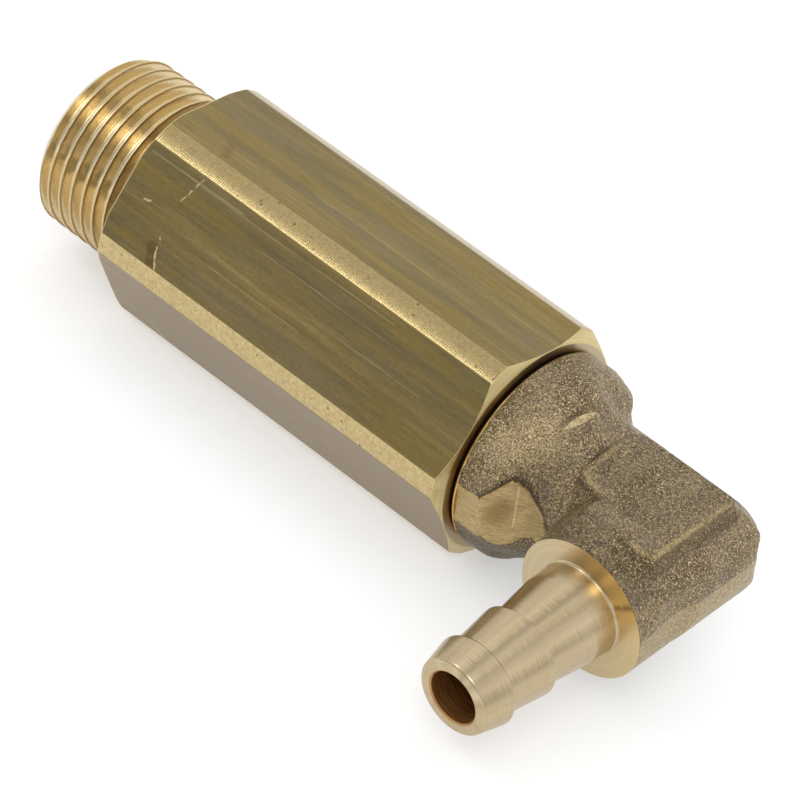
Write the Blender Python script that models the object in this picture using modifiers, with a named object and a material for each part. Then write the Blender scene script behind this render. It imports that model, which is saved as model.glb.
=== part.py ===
"""Angled brass safety valve: hexagonal body with threaded inlet, spring-loaded disc inside, and a hose elbow.

Metres, +Z up. The valve lies on one flat of its hexagon. The origin is the middle of that flat,
+X runs along the valve from the inlet to the elbow, and the hose barb points towards -Y.
"""

import math

import bmesh
import bpy
from mathutils import Matrix

mm = 0.001

# Hexagonal body
across_flats = 20.0 * mm
corner_diameter = 22.0 * mm
hex_length = 40.1 * mm
face_chamfer = 1.05 * mm
chamfer_angle = math.radians(30)
rear_chamfer = 0.35 * mm

# Inlet pipe thread, G 3/8
thread_diameter = 16.66 * mm
thread_pitch = 1.337 * mm
thread_depth = 0.856 * mm
thread_flank = math.radians(27.5)
thread_root_flat = 0.22 * mm
thread_length = 10.4 * mm
thread_relief = 0.9 * mm
thread_end_chamfer = 0.8 * mm
groove_overshoot = 0.2 * mm
groove_start = 1.45 * mm
relief_depth = 0.06 * mm

# Inside of the body
inlet_bore = 8.0 * mm
inlet_bore_chamfer = 0.4 * mm
seat_depth = 13.5 * mm
seat_height = 1.0 * mm
seat_land = 0.7 * mm
chamber_bore = 14.4 * mm
inner_thread_bore = 15.8 * mm
inner_thread_length = 20.0 * mm
thread_lead = 0.3 * mm
mouth_bore = 17.8 * mm
mouth_depth = 1.5 * mm

# Clearances
seating_gap = 0.3 * mm
running_gap = 0.3 * mm
collar_gap = 0.3 * mm

# Valve disc and its holder
seal_diameter = 10.4 * mm
seal_thickness = 1.5 * mm
holder_rim = 0.5 * mm
holder_rim_depth = 0.9 * mm
holder_shoulder = 0.5 * mm
guide_length = 4.5 * mm
guide_across_flats = 11.8 * mm
spigot_diameter = 5.2 * mm
spigot_length = 2.0 * mm
seal_washer_diameter = 5.4 * mm
seal_washer_thickness = 0.5 * mm
seal_screw_diameter = 2.5 * mm
seal_screw_head = 4.2 * mm
seal_screw_head_height = 1.4 * mm
seal_screw_grip = 2.8 * mm
screw_slot_width = 0.6 * mm
screw_slot_depth = 0.7 * mm
stem_diameter = 2.5 * mm
stem_length = 23.0 * mm
stem_socket = 2.4 * mm
stem_chamfer = 0.4 * mm

# Spring and its cups
wire_diameter = 1.0 * mm
coil_diameter = 8.4 * mm
coil_turns = 6
end_turn_gap = 0.15 * mm
lower_cup_diameter = 11.0 * mm
lower_cup_thickness = 0.8 * mm
upper_cup_diameter = 13.0 * mm
upper_cup_thickness = 1.2 * mm
upper_cup_boss = 6.6 * mm
upper_cup_boss_height = 1.0 * mm
cup_hole_diameter = 1.4 * mm
cup_hole_circle = 4.8 * mm
cup_hole_count = 4

# Adjusting screw and lock ring
adjuster_length = 5.0 * mm
adjuster_travel = 1.337 * mm
hex_socket = 7.0 * mm
lock_ring_length = 2.0 * mm
lock_ring_bore = 9.0 * mm
lock_slot_width = 1.6 * mm
lock_slot_depth = 0.8 * mm
ring_gap = 0.3 * mm

# Sealing ring under the elbow's collar
o_ring_section = 1.1 * mm

# Elbow
outlet_droop = math.radians(8.8)
outlet_offset = 15.45 * mm
elbow_spigot_length = 7.0 * mm
elbow_neck_diameter = 14.4 * mm
elbow_neck_length = 2.4 * mm
elbow_bore = 8.0 * mm
elbow_bore_overrun = 2.0 * mm
collar_diameter = 18.6 * mm
collar_edge = 0.25 * mm
collar_land = 3.2 * mm
collar_length = 6.4 * mm
run_diameter = 13.2 * mm
neck_diameter = 12.9 * mm
corner_start = 1.85 * mm
corner_reach = 7.25 * mm
corner_power = 2.5
shoulder_power = 1.2
leg_diameter = 13.0 * mm
leg_back = 5.2 * mm
leg_back_round = 2.6 * mm
pad_height = 6.6 * mm
pad_front = 4.25 * mm
pad_rear = 6.95 * mm
pad_near = 7.0 * mm
pad_far = 3.2 * mm
pad_round = 0.8 * mm

# Hose barb
shoulder_reach = 10.3 * mm
barb_reach = 25.1 * mm
barb_bore = 4.8 * mm
shank_diameter = 8.3 * mm
shank_length = 2.0 * mm
tip_diameter = 7.0 * mm
tip_round = 0.35 * mm
barb_crest = 8.3 * mm
barb_root = 7.1 * mm
first_crest = 22.2 * mm
second_crest = 17.5 * mm
crest_round = 0.45 * mm

# Facets
round_steps = 40
small_steps = 24
coil_steps = 14
arc_steps = 6
corner_steps = 3
drill_steps = 12
ring_steps = 8
edge_steps = 2
wire_steps = 2
sharp_angle = math.radians(30)
merge_distance = 0.01 * mm
overcut = 1.0 * mm

# Places along the valve
axis_height = across_flats / 2
rear_face = -hex_length / 2
front_face = hex_length / 2
inlet_face = rear_face - thread_length
seat_face = inlet_face + seat_depth
seal_face = seat_face + seating_gap
holder_floor = seal_face + seal_thickness + seating_gap
guide_end = holder_floor + guide_length
lower_cup_face = guide_end + seating_gap
collar_face = front_face + collar_gap
spigot_end = collar_face - elbow_spigot_length
lock_ring_face = spigot_end - seating_gap - adjuster_travel - ring_gap - lock_ring_length
adjuster_face = lock_ring_face - ring_gap - adjuster_length
upper_cup_face = adjuster_face - seating_gap - upper_cup_thickness
outlet_place = front_face + outlet_offset

collection = bpy.data.collections.new("safety_valve")
cutters = bpy.data.collections.new("cutters")


def clear_scene():
    for item in list(bpy.data.objects):
        bpy.data.objects.remove(item, do_unlink=True)
    bpy.context.scene.collection.children.link(collection)
    bpy.context.scene.collection.children.link(cutters)


def material(name, colour, roughness, metallic):
    made = bpy.data.materials.new(name)
    made.use_nodes = True
    shader = made.node_tree.nodes["Principled BSDF"]
    shader.inputs["Base Color"].default_value = (*colour, 1.0)
    shader.inputs["Roughness"].default_value = roughness
    shader.inputs["Metallic"].default_value = metallic
    return made


def add_object(name, mesh, home):
    made = bpy.data.objects.new(name, mesh)
    home.objects.link(made)
    if home is cutters:
        made.hide_render = True
        made.display_type = "WIRE"
    return made


def finish(obj, finish_material):
    obj.data.materials.clear()
    obj.data.materials.append(finish_material)
    obj.data.shade_smooth()
    obj.data.set_sharp_from_angle(angle=sharp_angle)
    return obj


def lay_along_x(obj, height=axis_height):
    """Turns local +Z to world +X and lifts the object to the valve's axis."""
    obj.rotation_euler = (0.0, math.pi / 2, 0.0)
    obj.location = (0.0, 0.0, height)
    return obj


def turned_mesh(name, profile, closed):
    """A ring or solid turned from (place, radius) points that run down the outer side."""
    mesh = bpy.data.meshes.new(name)
    points = [(radius, 0.0, place) for place, radius in profile]
    edges = [(i, i + 1) for i in range(len(points) - 1)]
    if closed:
        edges.append((len(points) - 1, 0))
    mesh.from_pydata(points, edges, [])
    return mesh


def turned(name, profile, home=None, steps=round_steps, closed=False):
    made = add_object(name, turned_mesh(name, profile, closed), home or collection)
    screw = made.modifiers.new("turn", "SCREW")
    screw.steps = steps
    screw.render_steps = steps
    screw.use_merge_vertices = True
    screw.merge_threshold = merge_distance
    return made


def prism(name, across, sides, low, high, home=cutters):
    """A regular prism along local Z, with one flat square to local X."""
    mesh = bpy.data.meshes.new(name)
    bm = bmesh.new()
    radius = across / 2 / math.cos(math.pi / sides)
    bmesh.ops.create_cone(
        bm, cap_ends=True, segments=sides, radius1=radius, radius2=radius, depth=high - low
    )
    if sides == 4:
        bmesh.ops.rotate(bm, verts=bm.verts, matrix=Matrix.Rotation(math.pi / 4, 3, "Z"))
    bmesh.ops.translate(bm, verts=bm.verts, vec=(0.0, 0.0, (high + low) / 2))
    bm.to_mesh(mesh)
    bm.free()
    return add_object(name, mesh, home)


def box(name, low, high, home=cutters, edge=0.0):
    mesh = bpy.data.meshes.new(name)
    bm = bmesh.new()
    bmesh.ops.create_cube(bm, size=1.0)
    size = [b - a for a, b in zip(low, high)]
    centre = [(a + b) / 2 for a, b in zip(low, high)]
    bmesh.ops.scale(bm, verts=bm.verts, vec=size)
    bmesh.ops.translate(bm, verts=bm.verts, vec=centre)
    bm.to_mesh(mesh)
    bm.free()
    made = add_object(name, mesh, home)
    if edge:
        bevel = made.modifiers.new("edges", "BEVEL")
        bevel.width = edge
        bevel.segments = edge_steps
    return made


def boolean(obj, other, operation):
    step = obj.modifiers.new(operation.lower() + " " + other.name, "BOOLEAN")
    step.operation = operation
    step.object = other
    step.solver = "EXACT"


def helix(name, section, pitch, turns, steps):
    """A closed helical bar: the section is swept by a Screw modifier and its two ends are filled."""
    guide = add_object(name + "_guide", turned_mesh(name + "_guide", section, True), cutters)
    screw = guide.modifiers.new("sweep", "SCREW")
    screw.steps = steps
    screw.render_steps = steps
    screw.screw_offset = pitch
    screw.iterations = turns
    screw.use_merge_vertices = False
    bpy.context.view_layer.update()
    graph = bpy.context.evaluated_depsgraph_get()
    mesh = bpy.data.meshes.new_from_object(guide.evaluated_get(graph))
    bpy.data.objects.remove(guide, do_unlink=True)
    bm = bmesh.new()
    bm.from_mesh(mesh)
    open_edges = [edge for edge in bm.edges if edge.is_boundary]
    bmesh.ops.holes_fill(bm, edges=open_edges, sides=0)
    bmesh.ops.recalc_face_normals(bm, faces=bm.faces)
    bm.to_mesh(mesh)
    bm.free()
    return add_object(name, mesh, cutters)


def round_corner(corner, before, after, radius, points=arc_steps):
    """Points of an arc that rounds a profile's corner between its two neighbours."""
    def towards(end):
        length = math.hypot(end[0] - corner[0], end[1] - corner[1])
        return ((end[0] - corner[0]) / length, (end[1] - corner[1]) / length)

    a, b = towards(before), towards(after)
    half = math.acos(max(-1.0, min(1.0, a[0] * b[0] + a[1] * b[1]))) / 2
    reach = radius / math.tan(half)
    start = (corner[0] + a[0] * reach, corner[1] + a[1] * reach)
    end = (corner[0] + b[0] * reach, corner[1] + b[1] * reach)
    middle_x, middle_y = a[0] + b[0], a[1] + b[1]
    length = math.hypot(middle_x, middle_y)
    depth = radius / math.sin(half)
    centre = (corner[0] + middle_x / length * depth, corner[1] + middle_y / length * depth)
    first = math.atan2(start[1] - centre[1], start[0] - centre[0])
    last = math.atan2(end[1] - centre[1], end[0] - centre[0])
    sweep = (last - first + math.pi) % (2 * math.pi) - math.pi
    arc = []
    for i in range(points + 1):
        angle = first + sweep * i / points
        arc.append((centre[0] + radius * math.cos(angle), centre[1] + radius * math.sin(angle)))
    return arc


def thread_groove():
    """The helical groove that the inlet thread is cut with, wider than a crest land at its mouth."""
    root = thread_diameter / 2 - thread_depth
    top = thread_diameter / 2 + groove_overshoot
    half_root = thread_root_flat / 2
    half_top = half_root + (top - root) * math.tan(thread_flank)
    section = [(half_top, top), (-half_top, top), (-half_root, root), (half_root, root)]
    turns = math.ceil((thread_length - groove_start) / thread_pitch) + 1
    groove = helix("thread_groove", section, thread_pitch, turns, round_steps)
    lay_along_x(groove)
    groove.location.x = rear_face - groove_start - turns * thread_pitch
    return groove


def valve_body(brass):
    corner = corner_diameter / 2
    face = corner - face_chamfer
    root = thread_diameter / 2 - thread_depth
    crest = thread_diameter / 2
    relief = root - relief_depth
    bore = inlet_bore / 2
    lip = bore + seat_land
    floor = seat_face - seat_height
    inner_thread_start = front_face - inner_thread_length
    outside = [
        (front_face, mouth_bore / 2),
        (front_face, face),
        (front_face - face_chamfer * math.tan(chamfer_angle), corner),
        (rear_face + rear_chamfer, corner),
        (rear_face, corner - rear_chamfer / math.tan(chamfer_angle)),
        (rear_face, relief),
        (rear_face - thread_relief, relief),
        (rear_face - thread_relief - (crest - relief), crest),
        (inlet_face + thread_end_chamfer, crest),
        (inlet_face, crest - thread_end_chamfer),
    ]
    inside = [
        (inlet_face, bore + inlet_bore_chamfer),
        (inlet_face + inlet_bore_chamfer, bore),
        (seat_face, bore),
        (seat_face, lip),
        (floor, lip + seat_height / 2),
        (floor, chamber_bore / 2),
        (inner_thread_start, chamber_bore / 2),
        (inner_thread_start, inner_thread_bore / 2),
        (front_face - mouth_depth, inner_thread_bore / 2),
        (front_face - mouth_depth, mouth_bore / 2),
    ]
    body = lay_along_x(turned("valve_body", outside + inside, closed=True))
    stock = prism("hex_stock", across_flats, 6, inlet_face - overcut, front_face + overcut)
    boolean(body, lay_along_x(stock), "INTERSECT")
    boolean(body, thread_groove(), "DIFFERENCE")
    return finish(body, brass)


def seal_pieces(rubber, steel):
    """The rubber disc, and the washer and screw that hold it in its holder."""
    hole = seal_screw_diameter / 2 + running_gap
    disc = [
        (seal_face + seal_thickness, hole),
        (seal_face + seal_thickness, seal_diameter / 2),
        (seal_face, seal_diameter / 2),
        (seal_face, hole),
    ]
    finish(lay_along_x(turned("seal_disc", disc, closed=True)), rubber)
    washer_face = seal_face - seating_gap
    washer = [
        (washer_face, hole),
        (washer_face, seal_washer_diameter / 2),
        (washer_face - seal_washer_thickness, seal_washer_diameter / 2),
        (washer_face - seal_washer_thickness, hole),
    ]
    finish(lay_along_x(turned("seal_washer", washer, steps=small_steps, closed=True)), steel)
    head = washer_face - seal_washer_thickness - seating_gap
    head_top = head - seal_screw_head_height
    screw = [
        (holder_floor + seal_screw_grip, 0.0),
        (holder_floor + seal_screw_grip, seal_screw_diameter / 2),
        (head, seal_screw_diameter / 2),
        (head, seal_screw_head / 2),
        (head_top, seal_screw_head / 2),
        (head_top, 0.0),
    ]
    screw_object = lay_along_x(turned("seal_screw", screw, steps=small_steps))
    slot = box(
        "screw_slot",
        (head_top - overcut, -seal_screw_head, axis_height - screw_slot_width / 2),
        (head_top + screw_slot_depth, seal_screw_head, axis_height + screw_slot_width / 2),
    )
    boolean(screw_object, slot, "DIFFERENCE")
    finish(screw_object, steel)


def disc_holder(brass):
    recess = seal_diameter / 2 + running_gap
    rim = recess + holder_rim
    rim_face = holder_floor - seating_gap - holder_rim_depth
    guide = chamber_bore / 2 - running_gap
    screw_hole = seal_screw_diameter / 2 + running_gap
    screw_depth = holder_floor + seal_screw_grip + running_gap
    stem_hole = stem_diameter / 2 + running_gap
    top = guide_end + spigot_length
    stem_depth = top - stem_socket - running_gap
    profile = [
        (stem_depth, 0.0),
        (stem_depth, stem_hole),
        (top, stem_hole),
        (top, spigot_diameter / 2),
        (guide_end, spigot_diameter / 2),
        (guide_end, guide),
        (holder_floor + holder_shoulder, guide),
        (holder_floor, rim),
        (rim_face, rim),
        (rim_face, recess),
        (holder_floor, recess),
        (holder_floor, screw_hole),
        (screw_depth, screw_hole),
        (screw_depth, 0.0),
    ]
    holder = lay_along_x(turned("disc_holder", profile))
    flats = prism(
        "guide_flats", guide_across_flats, 4, rim_face - overcut, top + overcut
    )
    boolean(holder, lay_along_x(flats), "INTERSECT")
    finish(holder, brass)


def guide_stem(steel):
    start = guide_end + spigot_length - stem_socket
    end = start + stem_length
    radius = stem_diameter / 2
    profile = [
        (end, 0.0),
        (end, radius - stem_chamfer),
        (end - stem_chamfer, radius),
        (start, radius),
        (start, 0.0),
    ]
    finish(lay_along_x(turned("guide_stem", profile, steps=small_steps)), steel)


def spring_pieces(spring_steel, brass):
    """The two cups and the coil between them."""
    spigot_hole = spigot_diameter / 2 + running_gap
    lower_top = lower_cup_face + lower_cup_thickness
    lower = [
        (lower_top, spigot_hole),
        (lower_top, lower_cup_diameter / 2),
        (lower_cup_face, lower_cup_diameter / 2),
        (lower_cup_face, spigot_hole),
    ]
    finish(lay_along_x(turned("lower_spring_cup", lower, closed=True)), brass)
    stem_hole = stem_diameter / 2 + running_gap
    upper_top = upper_cup_face + upper_cup_thickness
    upper = [
        (upper_top, stem_hole),
        (upper_top, upper_cup_diameter / 2),
        (upper_cup_face, upper_cup_diameter / 2),
        (upper_cup_face, upper_cup_boss / 2),
        (upper_cup_face - upper_cup_boss_height, upper_cup_boss / 2),
        (upper_cup_face - upper_cup_boss_height, stem_hole),
    ]
    cup = lay_along_x(turned("upper_spring_cup", upper, closed=True))
    low = upper_cup_face - upper_cup_boss_height - overcut
    for i in range(cup_hole_count):
        angle = 2 * math.pi * (i + 0.5) / cup_hole_count
        drill = prism("cup_drill_%d" % i, cup_hole_diameter, drill_steps, low, upper_top + overcut)
        lay_along_x(drill)
        drill.location.y = cup_hole_circle / 2 * math.cos(angle)
        drill.location.z = axis_height + cup_hole_circle / 2 * math.sin(angle)
        boolean(cup, drill, "DIFFERENCE")
    finish(cup, brass)
    start = lower_top + seating_gap + wire_diameter / 2
    end = upper_cup_face - seating_gap - wire_diameter / 2
    curve = bpy.data.curves.new("valve_spring", "CURVE")
    curve.dimensions = "3D"
    curve.bevel_depth = wire_diameter / 2
    curve.bevel_resolution = wire_steps
    curve.use_fill_caps = True
    coil = curve.splines.new("POLY")
    count = coil_turns * coil_steps
    coil.points.add(count)
    for i, point in enumerate(coil.points):
        angle = 2 * math.pi * i / coil_steps
        along = start + (end - start) * closing(i / count)
        side = coil_diameter / 2 * math.cos(angle)
        up = coil_diameter / 2 * math.sin(angle)
        point.co = (along, side, up, 1.0)
    spring = bpy.data.objects.new("valve_spring", curve)
    collection.objects.link(spring)
    spring.location.z = axis_height
    curve.materials.append(spring_steel)


def closing(share):
    """How far along the spring a share of its wire lies: the end turns lie closer than the rest."""
    end_turn = 1.0 / coil_turns
    closed = (wire_diameter + end_turn_gap) / spring_length()
    if share < end_turn:
        return closed * share / end_turn
    if share > 1 - end_turn:
        return 1 - closed * (1 - share) / end_turn
    return closed + (1 - 2 * closed) * (share - end_turn) / (1 - 2 * end_turn)


def spring_length():
    return upper_cup_face - lower_cup_face - lower_cup_thickness - 2 * seating_gap - wire_diameter


def adjusting_pieces(brass):
    """The hollow adjusting screw and the ring that locks it, both in the body's inner thread."""
    male = inner_thread_bore / 2 - running_gap
    screw_top = adjuster_face + adjuster_length
    profile = [
        (screw_top, 0.0),
        (screw_top, male - thread_lead),
        (screw_top - thread_lead, male),
        (adjuster_face + thread_lead, male),
        (adjuster_face, male - thread_lead),
        (adjuster_face, 0.0),
    ]
    screw = lay_along_x(turned("adjusting_screw", profile))
    socket = prism("hex_socket", hex_socket, 6, adjuster_face - overcut, screw_top + overcut)
    boolean(screw, lay_along_x(socket), "DIFFERENCE")
    finish(screw, brass)
    ring_top = lock_ring_face + lock_ring_length
    ring = [
        (ring_top, lock_ring_bore / 2),
        (ring_top, male),
        (lock_ring_face, male),
        (lock_ring_face, lock_ring_bore / 2),
    ]
    lock_ring = lay_along_x(turned("lock_ring", ring, closed=True))
    slot = box(
        "lock_slot",
        (ring_top - lock_slot_depth, -male - overcut, axis_height - lock_slot_width / 2),
        (ring_top + overcut, male + overcut, axis_height + lock_slot_width / 2),
    )
    boolean(lock_ring, slot, "DIFFERENCE")
    finish(lock_ring, brass)


def elbow_ring(rubber):
    neck = elbow_neck_diameter / 2
    section = o_ring_section / 2
    bpy.ops.mesh.primitive_torus_add(
        major_segments=round_steps,
        minor_segments=ring_steps,
        major_radius=neck + running_gap + section,
        minor_radius=section,
    )
    ring = bpy.context.active_object
    ring.name = "elbow_o_ring"
    for home in list(ring.users_collection):
        home.objects.unlink(ring)
    collection.objects.link(ring)
    lay_along_x(ring)
    ring.location.x = front_face - mouth_depth + seating_gap + section
    finish(ring, rubber)


def run_profile():
    """The elbow's straight run: threaded spigot, collar, neck and the rounded outer corner."""
    male = inner_thread_bore / 2 - running_gap
    neck = elbow_neck_diameter / 2
    collar = collar_diameter / 2
    run = run_diameter / 2
    start = outlet_place + corner_start
    depth = corner_reach - corner_start
    dome = []
    for i in range(2 * arc_steps + 1):
        angle = math.pi / 2 * i / (2 * arc_steps)
        along = start + depth * math.cos(angle) ** (2 / corner_power)
        dome.append((along, run * math.sin(angle) ** (2 / corner_power)))
    shoulder = []
    for i in range(arc_steps + 1):
        angle = math.pi / 2 * i / arc_steps
        along = collar_face + collar_length - (collar_length - collar_land) * math.sin(angle)
        fall = (1 - math.sin(angle)) ** shoulder_power
        shoulder.append((along, collar - (collar - neck_diameter / 2) * fall))
    return dome + [(outlet_place - pad_rear, run)] + shoulder + [
        (collar_face + collar_edge, collar),
        (collar_face, collar - collar_edge),
        (collar_face, neck),
        (collar_face - elbow_neck_length, neck),
        (collar_face - elbow_neck_length, male),
        (spigot_end + thread_lead, male),
        (spigot_end, male - thread_lead),
        (spigot_end, 0.0),
    ]


def leg_profile():
    """The elbow's outlet leg, from the barb's tip back past the corner."""
    leg = leg_diameter / 2
    tip = tip_diameter / 2
    crest = barb_crest / 2
    root = barb_root / 2
    shank = shank_diameter / 2
    points = [(barb_reach, 0.0)]
    corner = (barb_reach, tip)
    points += round_corner(corner, (barb_reach, 0.0), (first_crest, crest), tip_round, corner_steps)
    corner = (first_crest, crest)
    after = (first_crest - crest_round, root)
    points += round_corner(corner, (barb_reach, tip), after, crest_round / 2, corner_steps)
    points += [after, (second_crest, crest), (second_crest - crest_round / 2, root)]
    points += [(shoulder_reach + shank_length, shank), (shoulder_reach, shank), (shoulder_reach, leg)]
    corner = (-leg_back, leg)
    points += round_corner(corner, (shoulder_reach, leg), (-leg_back, 0.0), leg_back_round)
    points.append((-leg_back, 0.0))
    return points


def outlet_elbow(rough_brass):
    """One forging: run, outlet leg with its barb, and the spanner pads, drilled from both ends."""
    droop = bpy.data.objects.new("elbow_axis", None)
    collection.objects.link(droop)
    droop.location = (outlet_place, 0.0, axis_height)
    droop.rotation_euler = (outlet_droop, 0.0, 0.0)
    place = outlet_place
    elbow = turned("outlet_elbow", [(x - place, r) for x, r in run_profile()])
    leg = turned("elbow_leg", leg_profile(), home=cutters)
    pads = box(
        "elbow_pads",
        (-pad_rear, -pad_near, -pad_height),
        (pad_front, pad_far, pad_height),
        edge=pad_round,
    )
    run_drill = prism("run_drill", elbow_bore, small_steps, spigot_end - place - overcut, elbow_bore_overrun)
    leg_drill = prism("leg_drill", barb_bore, small_steps, 0.0, barb_reach + overcut)
    for piece in (elbow, run_drill):
        piece.rotation_euler = (0.0, math.pi / 2, 0.0)
    for piece in (leg, leg_drill):
        piece.rotation_euler = (math.pi / 2, 0.0, 0.0)
    for piece in (elbow, leg, pads, run_drill, leg_drill):
        piece.parent = droop
    boolean(elbow, leg, "UNION")
    boolean(elbow, pads, "UNION")
    boolean(elbow, run_drill, "DIFFERENCE")
    boolean(elbow, leg_drill, "DIFFERENCE")
    finish(elbow, rough_brass)


def main():
    clear_scene()
    drawn_brass = material("drawn_brass", (0.42, 0.34, 0.16), 0.35, 1.0)
    forged_brass = material("forged_brass", (0.30, 0.24, 0.16), 0.55, 1.0)
    turned_brass = material("turned_brass", (0.62, 0.50, 0.26), 0.3, 1.0)
    stainless = material("stainless", (0.55, 0.55, 0.56), 0.3, 1.0)
    spring_steel = material("spring_steel", (0.45, 0.45, 0.47), 0.35, 1.0)
    seal_rubber = material("seal_rubber", (0.35, 0.06, 0.04), 0.7, 0.0)
    ring_rubber = material("ring_rubber", (0.03, 0.03, 0.03), 0.6, 0.0)
    valve_body(drawn_brass)
    seal_pieces(seal_rubber, stainless)
    disc_holder(turned_brass)
    guide_stem(stainless)
    spring_pieces(spring_steel, turned_brass)
    adjusting_pieces(turned_brass)
    elbow_ring(ring_rubber)
    outlet_elbow(forged_brass)


main()
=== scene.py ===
"""Looks of the safety valve: finer shapes, finishes, light and the photograph's view."""

import math

import bmesh
import bpy
import numpy as np
from mathutils import Matrix, Quaternion, Vector, noise


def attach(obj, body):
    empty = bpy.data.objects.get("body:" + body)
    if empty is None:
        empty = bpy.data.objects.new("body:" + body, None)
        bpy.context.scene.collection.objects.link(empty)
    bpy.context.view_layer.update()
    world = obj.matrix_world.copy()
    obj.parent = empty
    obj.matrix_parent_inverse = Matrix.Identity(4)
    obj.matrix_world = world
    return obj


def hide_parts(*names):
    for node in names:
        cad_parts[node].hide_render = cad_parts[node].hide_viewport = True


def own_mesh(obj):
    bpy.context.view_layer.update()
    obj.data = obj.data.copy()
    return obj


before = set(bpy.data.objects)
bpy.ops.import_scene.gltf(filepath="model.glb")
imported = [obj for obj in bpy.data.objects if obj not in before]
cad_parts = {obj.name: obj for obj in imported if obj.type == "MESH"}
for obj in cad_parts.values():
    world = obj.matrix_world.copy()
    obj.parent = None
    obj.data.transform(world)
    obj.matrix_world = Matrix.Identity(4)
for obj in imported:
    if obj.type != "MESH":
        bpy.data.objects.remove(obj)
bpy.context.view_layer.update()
mm = 0.001
valve_axis = 10.0

# Camera, at the place found from the edges of the body in the photograph (mm)
camera_place = (220.692, -307.110, 289.752)
camera_aim = (9.855, -4.631, 10.0)
camera_roll = math.radians(13.512)
camera_lens = 251.0
camera_sensor = 36.0

# Body (mm): hexagon bar turned at its corners, with a pipe thread
half_across = 10.0
corner_radius = 11.0
corner_soft = 0.07
hex_half = 20.05
face_radius = 9.95
chamfer_slope = math.tan(math.radians(30))
rear_reach = 0.35
inlet_end = -30.45
thread_crest = 8.33
thread_depth = 0.856
thread_pitch = 1.337
thread_phase = 0.48
thread_half_angle = math.radians(27.5)
relief_length = 0.9
end_chamfer = 0.8
rows_per_pitch = 24
sector_angles = (
    -30, -28.4, -26.8, -25.6, -25.1, -24.7, -24.2, -23.5, -22, -19, -15.5, -12, -8, -4, 0,
    4, 8, 12, 15.5, 19, 22, 23.5, 24.2, 24.7, 25.1, 25.6, 26.8, 28.4,
)
flat_angle = math.degrees(math.acos(half_across / corner_radius))
flat_skin, land_skin, face_skin, thread_skin, bore_skin = range(5)

# Bore of the body, from the inlet's chamfer to the mouth that takes the elbow: place and radius
mouth_radius = 8.9
bore_profile = (
    (inlet_end, 4.4), (inlet_end + 0.4, 4.0), (-17.0, 4.0), (-16.95, 4.05), (-16.95, 4.7),
    (-17.95, 5.2), (-17.95, 7.2), (0.05, 7.2), (0.05, 7.9), (18.55, 7.9), (18.55, mouth_radius),
    (hex_half, mouth_radius),
)

# Nicks and scratches of the bar: start, end and half width (mm)
bar_marks = (
    ((-14.42, -9.58, 13.41), (-14.12, -10.25, 12.25), 0.04),
    ((-14.12, -10.25, 12.25), (-13.41, -10.91, 11.11), 0.07),
    ((-17.72, -8.72, 14.9), (-17.01, -8.58, 15.14), 0.05),
    ((-14.41, -7.77, 16.54), (-14.0, -7.2, 17.5), 0.04),
    ((-14.1, -7.3, 17.35), (-13.52, -6.52, 18.7), 0.03),
    ((-14.33, -10.02, 7.01), (-13.9, -10.4, 7.9), 0.06),
    ((-15.66, -7.14, 2.36), (-14.17, -6.55, 1.35), 0.04),
    ((19.0, -5.25, 20.0), (19.6, -5.33, 20.0), 0.08),
)
bar_lines = (
    ((-13.38, -6.84, 18.15), (9.05, -6.74, 18.32), 0.02),
    ((-5.14, -7.55, 16.93), (10.75, -7.52, 16.98), 0.02),
    ((-19.25, -6.8, 18.21), (-8.61, -6.72, 18.37), 0.07),
    ((2.0, -8.6, 15.1), (14.5, -8.58, 15.14), 0.015),
    ((-9.0, -9.4, 13.72), (1.5, -9.38, 13.75), 0.012),
    ((-6.0, -1.2, 20.0), (9.0, -1.1, 20.0), 0.015),
)

# Painted reflections and painted shade: lighter and darker bands along turned pieces: middle, half
# width (degrees) and amount
thread_painted_bands = (
    (116, 8, -0.22), (130, 8, 0.22), (143, 7, -0.16), (165, 9, -0.36), (190, 60, 0.05),
)
barb_painted_bands = (
    (25, 8, -0.14), (41, 8, 0.18), (58, 7, -0.14), (76, 7, -0.26), (89, 10, 0.12), (124, 16, 0.1),
)
rim_painted_shade = ((90, 66, -0.75),)

# Elbow (mm), in its own frame: u along the valve, v away from the barb, w square to both
outlet_place = 35.5
outlet_droop = math.radians(8.8)
collar_rear = -15.25
collar_front = -9.25
plump_front = -8.85
collar_radius = 9.3
collar_round = 3.3
cone_start = -12.45
cone_along, cone_out = 0.66, 0.751
fillet = 2.6
under_inset = 1.2
run_radius = 6.5
run_front = 7.0
run_round = 4.2
leg_radius = 6.4
leg_square = 0.6
leg_back = 5.2
leg_back_round = 3.0
shoulder_place = -10.3
pad_top = 6.6
pad_rear, pad_front, pad_near, pad_far = -6.7, 4.25, -4.8, 3.1
tongue_rear, tongue_near = -3.1, -7.1
corner_cut = 4.55
over_cut = 0.6
cell = 0.24

# Patch of the collar that was ground flat, and its limits: a u + b v + c w + d, above 0 outside
wheel_plane = (0.52, -0.85, 0.09, -1.42)
wheel_limits = ((1.0, 0.0, 0.65, 6.75), (1.0, 0.0, 0.0, 7.4), (-0.793, 0.0, 0.61, -11.15))
near_plane = (0.0, -1.0, 0.0, -9.1)
nick_start, nick_end, nick_radius = (-9.80, -2.93, 8.23), (-9.37, 1.14, 8.31), 0.45
nick_plane = (1.0, -0.106, 0.0, 9.50)
nick_middle = -0.9
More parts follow.
